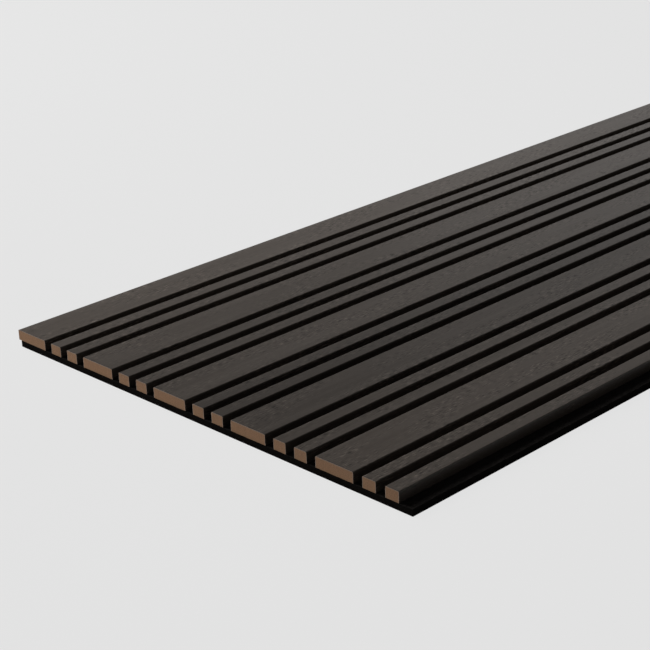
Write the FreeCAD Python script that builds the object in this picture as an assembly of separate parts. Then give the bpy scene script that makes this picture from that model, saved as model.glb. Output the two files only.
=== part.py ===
# Acoustic slat wall panel: dark veneered slats on a black felt board.
#
# Frame, in millimetres: the origin is the centre of the felt's back face, which goes against the wall.
# +X runs across the slats, +Y along them, and +Z out of the wall. The panel is modelled lying on its back.
# Each module across the panel is one wide slat and then the narrow ones, with a groove after every slat.

import FreeCAD, Part
import os

# Panel
panel_length = 2400.0
module_count = 5

# Slats, over the veneer, and the grooves between them
wide_width = 50.0
narrow_width = 17.0
narrow_per_module = 2
groove_width = 12.0
slat_height = 12.0

# Each slat is a fibreboard core with eased arrises and a veneer wrapped round its face and sides
core_arris_radius = 0.4
veneer_thickness = 0.6

# Felt board: the first slat overhangs it on the left, and it runs out as a tongue on the right
felt_thickness = 8.0
slat_overhang = 5.0

# Wire staples, driven from the back through the felt into each core
staple_crown = 6.0
staple_wire_width = 1.2
staple_wire_thickness = 1.0
staple_bite = 7.0
staple_tip_slant = 0.8
staple_rows = 4
staple_end_margin = 75.0

# Derived sizes
module_widths = [wide_width] + [narrow_width] * narrow_per_module
module_pitch = sum(module_widths) + groove_width * len(module_widths)
felt_width = module_count * module_pitch
felt_left = -felt_width / 2
slats_left = felt_left - slat_overhang
slat_top = felt_thickness + slat_height
near_end = -panel_length / 2
along_panel = FreeCAD.Vector(0, panel_length, 0)


def slats():
    """Left side and width of every slat, in order across the panel."""
    left = slats_left
    for width in module_widths * module_count:
        yield left, width
        left += width + groove_width


def arched_section(left, right, bottom, top, radius):
    """Face in the near end's plane: a rectangle with its two upper corners rounded."""
    shoulder = top - radius
    reach = radius * 0.5 ** 0.5

    def at(x, z):
        return FreeCAD.Vector(x, near_end, z)

    def corner(start, centre_x, side, end):
        middle = at(centre_x + side * reach, shoulder + reach)
        return Part.Arc(start, middle, end).toShape()

    outline = [
        Part.makeLine(at(left, bottom), at(right, bottom)),
        Part.makeLine(at(right, bottom), at(right, shoulder)),
        corner(at(right, shoulder), right - radius, 1, at(right - radius, top)),
        Part.makeLine(at(right - radius, top), at(left + radius, top)),
        corner(at(left + radius, top), left + radius, -1, at(left, shoulder)),
        Part.makeLine(at(left, shoulder), at(left, bottom)),
    ]
    return Part.Face(Part.Wire(outline))


def slat_core(left, width):
    """The sawn board strip inside the veneer, standing on the felt."""
    section = arched_section(
        left + veneer_thickness,
        left + width - veneer_thickness,
        felt_thickness,
        slat_top - veneer_thickness,
        core_arris_radius,
    )
    return section.extrude(along_panel)


def slat_veneer(left, width):
    """The wrap of even thickness over the core's face, arrises and sides."""
    section = arched_section(
        left, left + width, felt_thickness, slat_top, core_arris_radius + veneer_thickness
    )
    return section.extrude(along_panel).cut(slat_core(left, width))


def staple(x, y):
    """One staple: a crown pressed flush with the felt's back, and two legs with slanted tips."""
    outer = staple_crown / 2
    inner = outer - staple_wire_thickness
    tip = felt_thickness + staple_bite
    half_outline = [
        (inner, staple_wire_thickness),
        (inner, tip - staple_tip_slant),
        (outer, tip),
        (outer, 0),
    ]
    mirrored = [(-across, height) for across, height in reversed(half_outline)]
    outline = half_outline + mirrored + half_outline[:1]
    front = y - staple_wire_width / 2
    wire = Part.makePolygon([FreeCAD.Vector(x + across, front, height) for across, height in outline])
    return Part.Face(wire).extrude(FreeCAD.Vector(0, staple_wire_width, 0))


def slat_staples(left, width):
    """The staples of one slat: a row along its middle, evenly spaced between the end margins."""
    first = near_end + staple_end_margin
    step = (panel_length - 2 * staple_end_margin) / (staple_rows - 1)
    return [staple(left + width / 2, first + row * step) for row in range(staple_rows)]


def felt_backing(staples):
    """The felt board, with a slot for each staple."""
    corner = FreeCAD.Vector(felt_left, near_end, 0)
    return Part.makeBox(felt_width, panel_length, felt_thickness, corner).cut(staples)


def save(shape, name):
    shape.exportStep(os.path.join("parts", name + ".step"))
    print(name, "solids", len(shape.Solids), "volume", round(shape.Volume), "valid", shape.isValid())


os.makedirs("parts", exist_ok=True)

all_staples = []
for number, (left, width) in enumerate(slats(), start=1):
    own_staples = slat_staples(left, width)
    all_staples += own_staples
    save(slat_core(left, width).cut(own_staples), "slat_%02d_core" % number)
    save(slat_veneer(left, width), "slat_%02d_veneer" % number)

save(felt_backing(all_staples), "felt_backing")
save(Part.makeCompound(all_staples), "staples")
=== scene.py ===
"""Dresses an acoustic slat wall panel: stained veneer on fibreboard slats, stapled to a black felt board.

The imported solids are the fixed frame. The slats and the staples keep their solids and get their finishes
here, and the felt solid is stood for by a board with softened arrises that is drawn in at every staple.
"""

import math

import bpy
import numpy as np
from bpy.props import FloatProperty, FloatVectorProperty, PointerProperty
from mathutils import Matrix, Vector


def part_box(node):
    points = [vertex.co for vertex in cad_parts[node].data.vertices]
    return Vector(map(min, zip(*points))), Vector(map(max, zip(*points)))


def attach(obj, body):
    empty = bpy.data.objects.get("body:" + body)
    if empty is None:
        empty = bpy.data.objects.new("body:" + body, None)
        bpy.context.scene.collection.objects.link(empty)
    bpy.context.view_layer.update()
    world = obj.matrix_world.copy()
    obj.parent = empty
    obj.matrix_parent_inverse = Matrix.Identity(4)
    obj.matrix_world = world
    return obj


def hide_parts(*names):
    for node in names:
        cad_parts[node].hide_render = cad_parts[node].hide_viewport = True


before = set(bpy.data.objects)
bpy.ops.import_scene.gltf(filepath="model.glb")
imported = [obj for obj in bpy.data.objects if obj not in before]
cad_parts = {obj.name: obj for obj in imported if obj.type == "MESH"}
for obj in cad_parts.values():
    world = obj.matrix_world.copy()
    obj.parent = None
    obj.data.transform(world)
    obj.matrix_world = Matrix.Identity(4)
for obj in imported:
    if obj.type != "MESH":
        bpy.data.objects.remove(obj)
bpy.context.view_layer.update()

bl_info = {
    "name": "Acoustic slat panel",
    "version": (1, 0, 0),
    "blender": (4, 5, 0),
    "location": "View3D > Sidebar > Slat panel",
    "description": "Finishes the veneer, board, felt and staples of a slat wall panel",
    "category": "Object",
}

MM = 0.001
# The floor lies just clear of the felt, and its opening ends this far inside the felt's sides.
FLOOR_GAP = 0.1 * MM
FLOOR_INSET = 2 * MM
SLAT_COUNT = sum(name.endswith("_veneer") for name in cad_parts)
# Draws each slat's tone and stretch of grain, chosen so that the tones lie much as in the photograph. The
# tones are partly the veneer's own and partly painted light: they also carry the brighter and darker
# stretches that the light lays across the panel.
GRAIN_TONE_AND_PAINTED_LIGHT_SEED = 833431

# The photograph's viewpoint, in the panel's frame, solved from the slat edges.
CAMERA_PLACE = (1.2244, -2.1943, 0.7521)
CAMERA_HEADING = math.radians(135.98)
CAMERA_DOWN = math.radians(22.481)
CAMERA_ROLL = math.radians(-2.231)
CAMERA_LENS = 94.465
CAMERA_SENSOR = 36.0

# Each lamp's heading from +X and rise from the floor, in degrees, its distance and its two sides.
KEY_LAMP = (206, 33, 3.3, (1.8, 1.8))
RIM_LAMP = (126, 18, 5.0, (2.4, 0.8))
BACK_LAMP = (0, -90, 3.0, (1.8, 1.8))

# In shines, the backdrop reaches the first height over the horizon, and the ceiling starts at the second.
BACKDROP_TOP = math.radians(6)
CEILING_START = math.radians(22)


def linear(hex_colour):
    """An sRGB hex colour such as '37312C', as linear red, green and blue."""
    channels = np.array([int(hex_colour[i:i + 2], 16) for i in (0, 2, 4)]) / 255
    low = channels / 12.92
    high = ((channels + 0.055) / 1.055) ** 2.4
    return tuple(float(c) for c in np.where(channels <= 0.04045, low, high))


class FinishSettings(bpy.types.PropertyGroup):
    """Colours and tone of the four materials."""

    veneer_dark: FloatVectorProperty(
        name="Veneer, dark grain", description="Stained veneer in its denser late wood",
        subtype="COLOR", default=linear("37312C"))
    veneer_light: FloatVectorProperty(
        name="Veneer, light grain", description="Stained veneer in its open early wood",
        subtype="COLOR", default=linear("443E39"))
    veneer_sawn: FloatVectorProperty(
        name="Veneer, sawn edge", description="Bare wood of the veneer where the slat is sawn off",
        subtype="COLOR", default=linear("C0A794"))
    board: FloatVectorProperty(
        name="Board", description="Sawn fibreboard in the slats' ends",
        subtype="COLOR", default=linear("BB9374"))
    felt: FloatVectorProperty(
        name="Felt", description="Black polyester fibres",
        subtype="COLOR", default=linear("201E1D"))
    wire: FloatVectorProperty(
        name="Wire", description="Galvanised staple wire",
        subtype="COLOR", default=linear("B4B4AE"))
    # The spread of the slat tones is partly the veneer's own variation and partly painted light, wide
    # enough to carry how the light falls across the slats.
    slat_tone_and_painted_light_spread: FloatProperty(
        name="Slat tone spread", description="How far a slat's tone may lie from the common one",
        subtype="FACTOR", default=0.29, min=0.0, max=0.5)


class FeltSettings(bpy.types.PropertyGroup):
    """Form of the felt board."""

    arris: FloatProperty(
        name="Arris radius", description="Rounding of the cut edges",
        unit="LENGTH", default=0.7 * MM, min=0.0, max=2 * MM)
    fray: FloatProperty(
        name="Fray", description="How far the felt has spread under the overhanging first slat",
        unit="LENGTH", default=1.3 * MM, min=0.0, max=3 * MM)
    waviness: FloatProperty(
        name="Waviness", description="How far the pressed front dips below flat",
        unit="LENGTH", default=0.15 * MM, min=0.0, max=1 * MM)
    dimple_depth: FloatProperty(
        name="Dimple depth", description="How far a staple draws in the felt's back",
        unit="LENGTH", default=0.7 * MM, min=0.0, max=1 * MM)
    dimple_reach: FloatProperty(
        name="Dimple reach", description="Distance from a staple at which the dimple fades",
        unit="LENGTH", default=4.5 * MM, min=1 * MM, max=20 * MM)
    grid: FloatProperty(
        name="Grid", description="Spacing of the surface's grid lines away from the staples",
        unit="LENGTH", default=15 * MM, min=5 * MM, max=100 * MM)


class StageSettings(bpy.types.PropertyGroup):
    """Floor, backdrop and lamps."""

    backdrop: FloatVectorProperty(
        name="Backdrop", description="Colour of the floor and of what lies behind",
        subtype="COLOR", default=linear("E3E3E3"))
    shadow_share: FloatProperty(
        name="Shadow share", description="Share of the floor's brightness that a shadow can take away",
        subtype="FACTOR", default=0.03, min=0.0, max=1.0)
    ceiling: FloatProperty(
        name="Ceiling", description="Brightness of the ceiling in shines, as a share of the backdrop's",
        subtype="FACTOR", default=0.153, min=0.0, max=1.0)
    bounce: FloatProperty(
        name="Floor bounce", description="Lightness of the floor for the light it throws back",
        subtype="FACTOR", default=0.25, min=0.0, max=1.0)
    floor_size: FloatProperty(
        name="Floor size", description="Side of the square floor",
        unit="LENGTH", default=80.0, min=10.0)
    sky: FloatProperty(
        name="Sky strength", description="Strength of the even light from all round",
        default=0.1, min=0.0)
    key: FloatProperty(
        name="Key lamp", description="Power of the wide lamp at the front left, which lights the faces",
        unit="POWER", default=155.0, min=0.0)
    rim: FloatProperty(
        name="Rim lamp", description="Power of the long low lamp behind, which shines along the slats",
        unit="POWER", default=1.7, min=0.0)
    back: FloatProperty(
        name="Back lamp", description="Power of the lamp under the floor's opening, for the back alone",
        unit="POWER", default=75.0, min=0.0)


# Sets a Mix node to colours: the share is input 0, the colours are inputs 6 and 7, the result is output 2.
COLOURS = {"data_type": "RGBA"}


def add(tree, kind, settings=None, inputs=None):
    """Adds a node with its settings. An input is a plain value, or the socket or the node that feeds it."""
    node = tree.nodes.new(kind)
    for name, value in (settings or {}).items():
        setattr(node, name, value)
    for name, source in (inputs or {}).items():
        if isinstance(source, bpy.types.Node):
            source = source.outputs[0]
        if isinstance(source, bpy.types.NodeSocket):
            tree.links.new(source, node.inputs[name])
        else:
            node.inputs[name].default_value = source
    return node


def empty_tree(owner):
    """Gives a material or a world an empty node tree, and returns the tree."""
    owner.use_nodes = True
    owner.node_tree.nodes.clear()
    return owner.node_tree


def pattern(tree, size_mm, scale=(1, 1, 1), shift=(0, 0, 0), turn=0.0, detail=2.0, distortion=0.0):
    """Noise with features of size_mm on Object coordinates that are scaled, turned about Z and shifted."""
    place = add(tree, "ShaderNodeTexCoord").outputs["Object"]
    drawn = add(
        tree, "ShaderNodeMapping",
        inputs={"Vector": place, "Scale": scale, "Rotation": (0.0, 0.0, turn), "Location": shift})
    return add(
        tree, "ShaderNodeTexNoise",
        inputs={
            "Vector": drawn, "Scale": 1 / (size_mm * MM), "Detail": detail, "Distortion": distortion,
        })


def opaque(colour, tone=1.0):
    """A setting's colour made lighter or darker by tone, with full alpha."""
    return tuple(tone * c for c in colour) + (1.0,)


def stained_oak_veneer(name, finish, centre, tone, shift):
    """Oak veneer, sliced, stained near black and sealed with matt lacquer.

    The grain runs along the slat: broad bands of early and late wood, fine streaks, and patches where the
    cut opens the pores, dark where the stain fills them and pale on the worn rims between. A sealed surface
    scatters most light and shines softly at a low angle. The sawn edges are bare wood, since the stain
    only covers the faces.
    """
    band_mm, band_length_mm = 9.0, 700.0
    streak_mm, streak_length_mm = 2.0, 120.0
    patch_mm, patch_length_mm = 16.0, 90.0
    # Real pores are about 0.2 mm wide; they are drawn wider here, so that they still show from a step away.
    pore_mm, pore_length_mm = 1.0, 9.0
    # How much of the dark grain a streak takes on, and how much of the pores shows outside the patches.
    streak_share, closed_share = 0.5, 0.15
    # Worn rims against the light grain's brightness, and stained pits against the dark grain's.
    rim_tone, pit_tone = 2.2, 0.25
    lacquer_roughness, streak_roughness, pit_roughness = 0.28, 0.34, 0.48

    material = bpy.data.materials.new(name)
    tree = empty_tree(material)
    own = (shift[0] - centre[0], shift[1], -centre[2])
    bands = pattern(tree, band_mm, (1.0, band_mm / band_length_mm, 1.0), own, detail=3.0, distortion=0.3)
    streaks = pattern(tree, streak_mm, (1.0, streak_mm / streak_length_mm, 1.0), own, detail=3.0)
    patches = pattern(tree, patch_mm, (1.0, patch_mm / patch_length_mm, 1.0), own, detail=3.0)
    pores = pattern(tree, pore_mm, (1.0, pore_mm / pore_length_mm, 1.0), own, detail=1.0)

    dark, light = opaque(finish.veneer_dark, tone), opaque(finish.veneer_light, tone)
    early = add(tree, "ShaderNodeMapRange", inputs={"Value": bands, "From Min": 0.3, "From Max": 0.7})
    wood = add(tree, "ShaderNodeMix", COLOURS, {0: early, 6: dark, 7: light}).outputs[2]
    streak = add(
        tree, "ShaderNodeMapRange",
        inputs={"Value": streaks, "From Min": 0.35, "From Max": 0.65, "To Max": streak_share})
    streaked = add(tree, "ShaderNodeMix", COLOURS, {0: streak, 6: wood, 7: dark}).outputs[2]

    open_cut = add(
        tree, "ShaderNodeMapRange",
        inputs={"Value": patches, "From Min": 0.42, "From Max": 0.62, "To Min": closed_share})
    high = add(tree, "ShaderNodeMapRange", inputs={"Value": pores, "From Min": 0.575, "From Max": 0.715})
    low = add(tree, "ShaderNodeMapRange", inputs={"Value": pores, "From Min": 0.445, "From Max": 0.315})
    rims = add(tree, "ShaderNodeMath", {"operation": "MULTIPLY"}, {0: high, 1: open_cut})
    pits = add(tree, "ShaderNodeMath", {"operation": "MULTIPLY"}, {0: low, 1: open_cut})
    rim_colour = opaque(finish.veneer_light, rim_tone * tone)
    pit_colour = opaque(finish.veneer_dark, pit_tone * tone)
    worn = add(tree, "ShaderNodeMix", COLOURS, {0: rims, 6: streaked, 7: rim_colour}).outputs[2]
    stained = add(tree, "ShaderNodeMix", COLOURS, {0: pits, 6: worn, 7: pit_colour}).outputs[2]

    facing = add(tree, "ShaderNodeTexCoord").outputs["Normal"]
    along = add(tree, "ShaderNodeSeparateXYZ", inputs={"Vector": facing}).outputs["Y"]
    end_on = add(tree, "ShaderNodeMath", {"operation": "ABSOLUTE"}, {0: along})
    is_sawn = add(tree, "ShaderNodeMath", {"operation": "GREATER_THAN"}, {0: end_on, 1: 0.5})
    bare = opaque(finish.veneer_sawn)
    colour = add(tree, "ShaderNodeMix", COLOURS, {0: is_sawn, 6: stained, 7: bare}).outputs[2]

    sealed = add(
        tree, "ShaderNodeMapRange",
        inputs={
            "Value": streaks, "From Min": 0.3, "From Max": 0.7,
            "To Min": lacquer_roughness, "To Max": streak_roughness,
        })
    roughness = add(tree, "ShaderNodeMix", inputs={0: pits, 2: sealed, 3: pit_roughness})
    relief = add(tree, "ShaderNodeMapRange", inputs={"Value": pits, "To Min": 1.0, "To Max": 0.0})
    bump = add(
        tree, "ShaderNodeBump", inputs={"Strength": 0.25, "Distance": 0.1 * MM, "Height": relief})
    shader = add(
        tree, "ShaderNodeBsdfPrincipled",
        inputs={
            "Base Color": colour, "Roughness": roughness, "IOR": 1.5, "Specular IOR Level": 0.2,
            "Normal": bump,
        })
    add(tree, "ShaderNodeOutputMaterial", inputs={"Surface": shader})
    return material


def sawn_fibreboard(finish):
    """Medium density fibreboard, pressed from wood fibre and cut with a saw.

    The section is matt and even, a little denser and darker near the board's faces, speckled with
    fibre bundles and marked by the saw's teeth across the thickness.
    """
    # Real fibres are some 0.1 mm wide; the speckle is of bundles of them, wide enough to show.
    fibre_mm = 1.1
    saw_mark_mm, saw_mark_height_mm = 1.6, 30.0
    # Tones of the board's colour: between bundles, on a bundle, in a saw mark and in the dense skin.
    between_tone, bundle_tone, mark_tone, skin_tone = 0.8, 1.2, 0.75, 0.55
    # How much of its own tone a saw mark and the skin take on, and how far from the middle the skin starts.
    mark_share, skin_share, skin_start = 0.25, 0.15, 0.5

    material = bpy.data.materials.new("sawn_fibreboard")
    tree = empty_tree(material)
    fibre = pattern(tree, fibre_mm, detail=4.0)
    marks = pattern(tree, saw_mark_mm, (1.0, 1.0, saw_mark_mm / saw_mark_height_mm))

    between, bundle = opaque(finish.board, between_tone), opaque(finish.board, bundle_tone)
    speck = add(tree, "ShaderNodeMapRange", inputs={"Value": fibre, "From Min": 0.3, "From Max": 0.7})
    speckled = add(tree, "ShaderNodeMix", COLOURS, {0: speck, 6: between, 7: bundle}).outputs[2]
    sawn = add(
        tree, "ShaderNodeMapRange",
        inputs={"Value": marks, "From Min": 0.4, "From Max": 0.7, "To Max": mark_share})
    mark = opaque(finish.board, mark_tone)
    marked = add(tree, "ShaderNodeMix", COLOURS, {0: sawn, 6: speckled, 7: mark}).outputs[2]

    low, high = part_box("slat_01_core")
    middle, half = (low.z + high.z) / 2, (high.z - low.z) / 2
    place = add(tree, "ShaderNodeTexCoord").outputs["Object"]
    height = add(tree, "ShaderNodeSeparateXYZ", inputs={"Vector": place}).outputs["Z"]
    over_middle = add(tree, "ShaderNodeMath", {"operation": "SUBTRACT"}, {0: height, 1: middle})
    from_middle = add(tree, "ShaderNodeMath", {"operation": "ABSOLUTE"}, {0: over_middle})
    dense = add(
        tree, "ShaderNodeMapRange",
        inputs={
            "Value": from_middle, "From Min": skin_start * half, "From Max": half, "To Max": skin_share,
        })
    skin = opaque(finish.board, skin_tone)
    colour = add(tree, "ShaderNodeMix", COLOURS, {0: dense, 6: marked, 7: skin}).outputs[2]

    bump = add(
        tree, "ShaderNodeBump", inputs={"Strength": 0.4, "Distance": 0.15 * MM, "Height": fibre})
    shader = add(
        tree, "ShaderNodeBsdfPrincipled",
        inputs={"Base Color": colour, "Roughness": 0.9, "IOR": 1.45, "Normal": bump})
    add(tree, "ShaderNodeOutputMaterial", inputs={"Surface": shader})
    return material


def needled_felt(finish):
    """Polyester fibres, needled and pressed into a board: matt, deep black, with a faint fibre nap.

    The light that enters between the fibres is lost there, so the felt has no shine at all.
    """
    # Real fibres are some 0.03 mm thick; tufts of them are drawn, wide enough to show.
    tuft_mm, tuft_length_mm = 0.9, 7.0
    tuft_turns = (25, 80, 145)
    clump_mm = 14.0
    # Tones of the felt's colour: between tufts, on a tuft and in a pressed clump.
    between_tone, tuft_tone, clump_tone = 0.6, 1.7, 0.7
    clump_share = 0.4

    material = bpy.data.materials.new("needled_felt")
    tree = empty_tree(material)
    layers = [
        pattern(tree, tuft_mm, (1.0, tuft_mm / tuft_length_mm, 1.0), turn=math.radians(turn))
        for turn in tuft_turns
    ]
    tufts = layers[0]
    for layer in layers[1:]:
        tufts = add(tree, "ShaderNodeMath", {"operation": "MAXIMUM"}, {0: tufts, 1: layer})
    clumps = pattern(tree, clump_mm, detail=3.0)

    between, tuft = opaque(finish.felt, between_tone), opaque(finish.felt, tuft_tone)
    nap = add(tree, "ShaderNodeMapRange", inputs={"Value": tufts, "From Min": 0.5, "From Max": 0.75})
    tufted = add(tree, "ShaderNodeMix", COLOURS, {0: nap, 6: between, 7: tuft}).outputs[2]
    pressed = add(
        tree, "ShaderNodeMapRange",
        inputs={"Value": clumps, "From Min": 0.4, "From Max": 0.7, "To Max": clump_share})
    clump = opaque(finish.felt, clump_tone)
    colour = add(tree, "ShaderNodeMix", COLOURS, {0: pressed, 6: tufted, 7: clump}).outputs[2]

    bump = add(
        tree, "ShaderNodeBump", inputs={"Strength": 0.7, "Distance": 0.4 * MM, "Height": tufts})
    shader = add(
        tree, "ShaderNodeBsdfPrincipled",
        inputs={"Base Color": colour, "Roughness": 1.0, "Specular IOR Level": 0.0, "Normal": bump})
    add(tree, "ShaderNodeOutputMaterial", inputs={"Surface": shader})
    return material


def galvanised_wire(finish):
    """Steel wire, drawn and galvanised: a soft grey metal with faint draw lines along the wire."""
    # Real draw lines are some 0.03 mm wide; they are drawn wider, so that they show on the crowns.
    line_mm, line_length_mm = 0.15, 6.0
    line_tone = 0.85
    bright_roughness, line_roughness = 0.3, 0.5

    material = bpy.data.materials.new("galvanised_wire")
    tree = empty_tree(material)
    lines = pattern(tree, line_mm, (line_mm / line_length_mm, 1.0, 1.0))
    zinc, worn_zinc = opaque(finish.wire), opaque(finish.wire, line_tone)
    clear = add(tree, "ShaderNodeMapRange", inputs={"Value": lines, "From Min": 0.35, "From Max": 0.65})
    colour = add(tree, "ShaderNodeMix", COLOURS, {0: clear, 6: worn_zinc, 7: zinc}).outputs[2]
    roughness = add(
        tree, "ShaderNodeMapRange",
        inputs={
            "Value": lines, "From Min": 0.3, "From Max": 0.7,
            "To Min": bright_roughness, "To Max": line_roughness,
        })
    shader = add(
        tree, "ShaderNodeBsdfPrincipled",
        inputs={"Base Color": colour, "Roughness": roughness, "Metallic": 1.0})
    add(tree, "ShaderNodeOutputMaterial", inputs={"Surface": shader})
    return material


def dress(node, material):
    """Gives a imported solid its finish."""
    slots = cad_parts[node].data.materials
    slots.clear()
    slots.append(material)


def even_lines(low, high, spacing, centres=(), offsets=()):
    """Grid lines from low to high about spacing apart, with closer ones at the offsets from each centre."""
    even = np.linspace(low, high, max(2, round((high - low) / spacing) + 1))
    close = np.add.outer(np.asarray(centres, float), np.asarray(offsets, float)).ravel()
    lines = np.unique(np.round(np.concatenate([even, close]), 6))
    return lines[(lines >= low) & (lines <= high)]


def edge_lines(lines, radius):
    """Adds the lines that a rounded arris needs at both ends, at three shares of its radius."""
    steps = radius * np.array([0.25, 0.6, 1.0])
    low, high = lines[0], lines[-1]
    return np.unique(np.round(np.concatenate([lines, low + steps, high - steps]), 6))


def slab_shell(lines):
    """Closed shell of a slab, as points and quads.

    lines holds the grid lines along x, y and z. Each of the six sides is the grid of the lines in its two
    directions, at the lowest or highest line of the third. The sides share their edge points.
    """
    points, quads = [], []
    for axis in range(3):
        first, second = (axis + 1) % 3, (axis + 2) % 3
        u, v = np.meshgrid(lines[first], lines[second], indexing="ij")
        index = np.arange(u.size).reshape(u.shape)
        corners = [index[:-1, :-1], index[1:, :-1], index[1:, 1:], index[:-1, 1:]]
        ring = np.stack([c.ravel() for c in corners], axis=1)
        for end, winding in ((0, -1), (-1, 1)):
            side = np.empty((u.size, 3))
            side[:, first] = u.ravel()
            side[:, second] = v.ravel()
            side[:, axis] = lines[axis][end]
            quads.append(ring[:, ::winding] + sum(len(p) for p in points))
            points.append(side)
    shared, where = np.unique(np.round(np.concatenate(points), 7), axis=0, return_inverse=True)
    return shared, where.ravel()[np.concatenate(quads)]


def rounded(points, radius):
    """Rounds the slab's edges: each point ends one radius away from the slab that is smaller by it."""
    low, high = points.min(0) + radius, points.max(0) - radius
    inner = np.clip(points, low, high)
    away = points - inner
    length = np.linalg.norm(away, axis=1, keepdims=True)
    return inner + away * radius / np.maximum(length, 1e-12)


def ripple(points, wavelength, seed):
    """A smooth value from 0 to 1 at each point: the mean of six sine waves of about that wavelength."""
    count = 6
    random = np.random.default_rng(seed)
    waves = random.normal(size=(count, 3)) * 2 * math.pi / wavelength / math.sqrt(3)
    phases = random.uniform(0, 2 * math.pi, count)
    return 0.5 + 0.5 * np.sin(points @ waves.T + phases).mean(1)


def mesh_object(name, points, quads, material):
    """A mesh object at the origin, with smooth faces and one material."""
    mesh = bpy.data.meshes.new(name)
    mesh.from_pydata(points.tolist(), [], quads.tolist())
    mesh.polygons.foreach_set("use_smooth", np.ones(len(quads), bool))
    mesh.materials.append(material)
    mesh.update()
    piece = bpy.data.objects.new(name, mesh)
    bpy.context.scene.collection.objects.link(piece)
    return piece


def staple_rows():
    """Places of the staple rows along the panel: midway between the near and the far side of each wire."""
    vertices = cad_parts["staples"].data.vertices
    flat = np.empty(3 * len(vertices))
    vertices.foreach_get("co", flat)
    sides = np.unique(np.round(flat.reshape(-1, 3)[:, 1], 5))
    return (sides[0::2] + sides[1::2]) / 2


def slat_centres():
    """Middle of every slat across the panel."""
    boxes = [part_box("slat_%02d_veneer" % (n + 1)) for n in range(SLAT_COUNT)]
    return np.array([(low.x + high.x) / 2 for low, high in boxes])


def felt_surface(settings):
    """The felt board's surface, as points and quads.

    It is a slab that fills the felt's box and the fray beside it, with rounded edges, and with closer grid
    lines at the staples. Its front dips below flat by the waviness times a ripple. Its back is drawn in by
    a bell at each staple: the depth times e to the power of minus the square of distance over reach.
    """
    layers = 4
    ripple_length, ripple_seed = 60 * MM, 3
    # Where the closer grid lines lie beside a staple, in reaches of its dimple.
    beside = np.array([-1.6, -0.8, 0.0, 0.8, 1.6])

    low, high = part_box("felt_backing")
    low.x -= settings.fray
    centres, rows = slat_centres(), staple_rows()
    near = settings.dimple_reach * beside
    lines = [
        edge_lines(even_lines(low.x, high.x, settings.grid, centres, near), settings.arris),
        edge_lines(even_lines(low.y, high.y, settings.grid, rows, near), settings.arris),
        edge_lines(even_lines(low.z, high.z, (high.z - low.z) / layers), settings.arris),
    ]
    points, quads = slab_shell(lines)
    points = rounded(points, settings.arris)
    front = points[:, 2] > high.z - settings.arris
    back = points[:, 2] < low.z + settings.arris
    points[front, 2] -= settings.waviness * ripple(points[front], ripple_length, ripple_seed)
    across = np.abs(points[:, None, 0] - centres).min(1)
    along = np.abs(points[:, None, 1] - rows).min(1)
    dimple = settings.dimple_depth * np.exp(-(across ** 2 + along ** 2) / settings.dimple_reach ** 2)
    points[back, 2] += dimple[back]
    return points, quads


class PANEL_OT_veneers(bpy.types.Operator):
    """Finish the veneers, each with its own stretch of grain and its own tone"""

    bl_idname = "slat_panel.veneers"
    bl_label = "Veneers"

    def execute(self, context):
        finish = context.scene.slat_panel_finish
        random = np.random.default_rng(GRAIN_TONE_AND_PAINTED_LIGHT_SEED)
        for number in range(1, SLAT_COUNT + 1):
            node = "slat_%02d_veneer" % number
            low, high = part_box(node)
            # A slat's tone: partly its veneer's own, partly painted light.
            tone = 1 + finish.slat_tone_and_painted_light_spread * random.uniform(-1, 1)
            shift = random.uniform(-1, 1, 2)
            name = "stained_oak_veneer_%02d" % number
            dress(node, stained_oak_veneer(name, finish, (low + high) / 2, tone, shift))
        return {"FINISHED"}


class PANEL_OT_cores(bpy.types.Operator):
    """Finish the fibreboard cores, which show at the sawn ends"""

    bl_idname = "slat_panel.cores"
    bl_label = "Cores"

    def execute(self, context):
        material = sawn_fibreboard(context.scene.slat_panel_finish)
        for number in range(1, SLAT_COUNT + 1):
            dress("slat_%02d_core" % number, material)
        return {"FINISHED"}


class PANEL_OT_felt(bpy.types.Operator):
    """Build the felt board, drawn in at every staple"""

    bl_idname = "slat_panel.felt"
    bl_label = "Felt board"

    def execute(self, context):
        points, quads = felt_surface(context.scene.slat_panel_felt)
        felt = mesh_object("felt_board", points, quads, needled_felt(context.scene.slat_panel_finish))
        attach(felt, "root")
        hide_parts("felt_backing")
        return {"FINISHED"}


class PANEL_OT_staples(bpy.types.Operator):
    """Finish the staples, whose crowns lie in the felt's back"""

    bl_idname = "slat_panel.staples"
    bl_label = "Staples"

    def execute(self, context):
        dress("staples", galvanised_wire(context.scene.slat_panel_finish))
        return {"FINISHED"}


def area_lamp(name, heading, rise, distance, sides, power):
    """A soft rectangular lamp, turned towards the panel's middle, that the camera doesn't see."""
    heading, rise = math.radians(heading), math.radians(rise)
    level = distance * math.cos(rise)
    place = Vector((level * math.cos(heading), level * math.sin(heading), distance * math.sin(rise)))
    lamp = bpy.data.lights.new(name, "AREA")
    lamp.shape = "RECTANGLE"
    lamp.size, lamp.size_y = sides
    lamp.energy = power
    holder = bpy.data.objects.new(name, lamp)
    holder.location = place
    holder.rotation_euler = (Vector() - place).to_track_quat("-Z", "Y").to_euler()
    holder.visible_camera = False
    bpy.context.scene.collection.objects.link(holder)
    return holder


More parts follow.
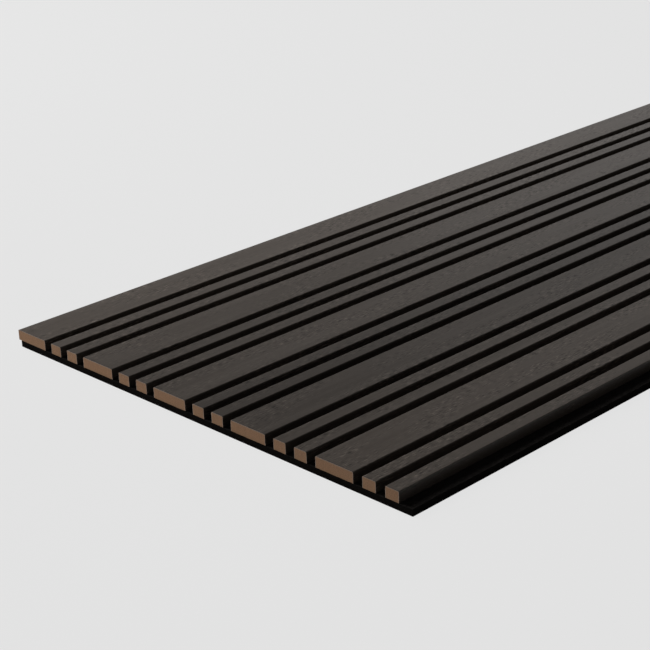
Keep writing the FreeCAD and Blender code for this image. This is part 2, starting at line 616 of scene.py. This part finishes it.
def photo_camera():
    """The camera at the photograph's viewpoint."""
    forward = Vector((
        math.cos(CAMERA_DOWN) * math.cos(CAMERA_HEADING),
        math.cos(CAMERA_DOWN) * math.sin(CAMERA_HEADING),
        -math.sin(CAMERA_DOWN),
    ))
    level = forward.cross(Vector((0, 0, 1))).normalized()
    raised = level.cross(forward)
    right = math.cos(CAMERA_ROLL) * level + math.sin(CAMERA_ROLL) * raised
    up = right.cross(forward)
    data = bpy.data.cameras.new("photo_camera")
    data.lens = CAMERA_LENS
    data.sensor_width = CAMERA_SENSOR
    camera = bpy.data.objects.new("photo_camera", data)
    turned = Matrix((right, up, -forward)).transposed().to_4x4()
    camera.matrix_world = Matrix.Translation(CAMERA_PLACE) @ turned
    bpy.context.scene.collection.objects.link(camera)
    bpy.context.scene.camera = camera


def seen_directly(tree):
    """1 for the rays of the camera and those that gloss or glass send on, 0 for scattered light."""
    path = add(tree, "ShaderNodeLightPath").outputs
    seen = path["Is Camera Ray"]
    for kind in ("Is Glossy Ray", "Is Transmission Ray"):
        seen = add(tree, "ShaderNodeMath", {"operation": "MAXIMUM"}, {0: seen, 1: path[kind]})
    return seen


def floor_surface(size):
    """The floor's surface, as points and quads.

    It is a square ring: four outer corners at half its size, four inner ones round the opening under the
    panel, and a quad on each side between them.
    """
    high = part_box("felt_backing")[1]
    turns = np.array([(-1, -1), (1, -1), (1, 1), (-1, 1)])
    opening = turns * (np.array([high.x, high.y]) - FLOOR_INSET)
    rings = np.concatenate([turns * size / 2, opening])
    corners = np.column_stack([rings, np.full(len(rings), -FLOOR_GAP)])
    first = np.arange(4)
    after = (first + 1) % 4
    return corners, np.stack([first, after, after + 4, first + 4], axis=1)


def paper_floor(stage):
    """Paper floor: the rays that see it find the backdrop's colour, with room for a soft shadow.

    From below it isn't there, so that the panel's back can be looked at.
    """
    material = bpy.data.materials.new("paper_floor")
    tree = empty_tree(material)
    paper = add(tree, "ShaderNodeBsdfDiffuse", inputs={"Color": opaque(stage.backdrop)})
    dull = add(tree, "ShaderNodeBsdfDiffuse", inputs={"Color": opaque((stage.bounce,) * 3)})
    glow = add(tree, "ShaderNodeEmission", inputs={"Color": opaque(stage.backdrop)})
    lit = add(tree, "ShaderNodeMixShader", inputs={0: stage.shadow_share, 1: glow, 2: paper})
    top = add(tree, "ShaderNodeMixShader", inputs={0: seen_directly(tree), 1: dull, 2: lit})
    is_below = add(tree, "ShaderNodeNewGeometry").outputs["Backfacing"]
    nothing = add(tree, "ShaderNodeBsdfTransparent")
    one_sided = add(tree, "ShaderNodeMixShader", inputs={0: is_below, 1: top, 2: nothing})
    add(tree, "ShaderNodeOutputMaterial", inputs={"Surface": one_sided})
    return material


def soft_room(stage):
    """The backdrop all round for the camera, soft light for the rest, and a dim ceiling in every shine."""
    world = bpy.data.worlds.new("soft_room")
    tree = empty_tree(world)
    direction = add(tree, "ShaderNodeTexCoord").outputs["Generated"]
    upward = add(tree, "ShaderNodeSeparateXYZ", inputs={"Vector": direction}).outputs["Z"]
    room = add(
        tree, "ShaderNodeMapRange",
        inputs={
            "Value": upward, "From Min": math.sin(BACKDROP_TOP), "From Max": math.sin(CEILING_START),
            "To Min": 1.0, "To Max": stage.ceiling,
        })
    from_camera = add(tree, "ShaderNodeLightPath").outputs["Is Camera Ray"]
    strength = add(tree, "ShaderNodeMath", {"operation": "MAXIMUM"}, {0: room, 1: from_camera})
    seen = add(
        tree, "ShaderNodeBackground", inputs={"Color": opaque(stage.backdrop), "Strength": strength})
    light = add(tree, "ShaderNodeBackground", inputs={"Color": (1, 1, 1, 1), "Strength": stage.sky})
    both = add(tree, "ShaderNodeMixShader", inputs={0: seen_directly(tree), 1: light, 2: seen})
    add(tree, "ShaderNodeOutputWorld", inputs={"Surface": both})
    bpy.context.scene.world = world


class PANEL_OT_stage(bpy.types.Operator):
    """Set the floor, the backdrop, the lamps and the camera"""

    bl_idname = "slat_panel.stage"
    bl_label = "Stage"

    def execute(self, context):
        stage = context.scene.slat_panel_stage
        corners, quads = floor_surface(stage.floor_size)
        mesh_object("floor", corners, quads, paper_floor(stage))
        soft_room(stage)
        key = area_lamp("key_lamp", *KEY_LAMP, stage.key)
        # Its mirror image would lay a white glare over half of the lacquered faces, seen from a long side.
        key.visible_glossy = False
        area_lamp("rim_lamp", *RIM_LAMP, stage.rim)
        area_lamp("back_lamp", *BACK_LAMP, stage.back)
        photo_camera()
        context.scene.view_settings.view_transform = "Standard"
        return {"FINISHED"}


STEPS = (PANEL_OT_veneers, PANEL_OT_cores, PANEL_OT_felt, PANEL_OT_staples, PANEL_OT_stage)
SETTINGS = {
    "slat_panel_finish": FinishSettings,
    "slat_panel_felt": FeltSettings,
    "slat_panel_stage": StageSettings,
}


class PANEL_PT_sidebar(bpy.types.Panel):
    """Settings and steps of the slat panel"""

    bl_idname = "PANEL_PT_sidebar"
    bl_label = "Slat panel"
    bl_space_type = "VIEW_3D"
    bl_region_type = "UI"
    bl_category = "Slat panel"

    def draw(self, context):
        for step in STEPS:
            self.layout.operator(step.bl_idname)
        for name, group in SETTINGS.items():
            box = self.layout.box()
            for prop in group.__annotations__:
                box.prop(getattr(context.scene, name), prop)


def register():
    for group in SETTINGS.values():
        bpy.utils.register_class(group)
    for cls in STEPS + (PANEL_PT_sidebar,):
        bpy.utils.register_class(cls)
    for name, group in SETTINGS.items():
        setattr(bpy.types.Scene, name, PointerProperty(type=group))


def unregister():
    for name in SETTINGS:
        delattr(bpy.types.Scene, name)
    for cls in (PANEL_PT_sidebar,) + STEPS[::-1]:
        bpy.utils.unregister_class(cls)
    for group in SETTINGS.values():
        bpy.utils.unregister_class(group)


def main():
    """Registers the add-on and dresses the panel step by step."""
    register()
    for step in STEPS:
        group, name = step.bl_idname.split(".")
        getattr(getattr(bpy.ops, group), name)()


if __name__ == "__main__":
    main()
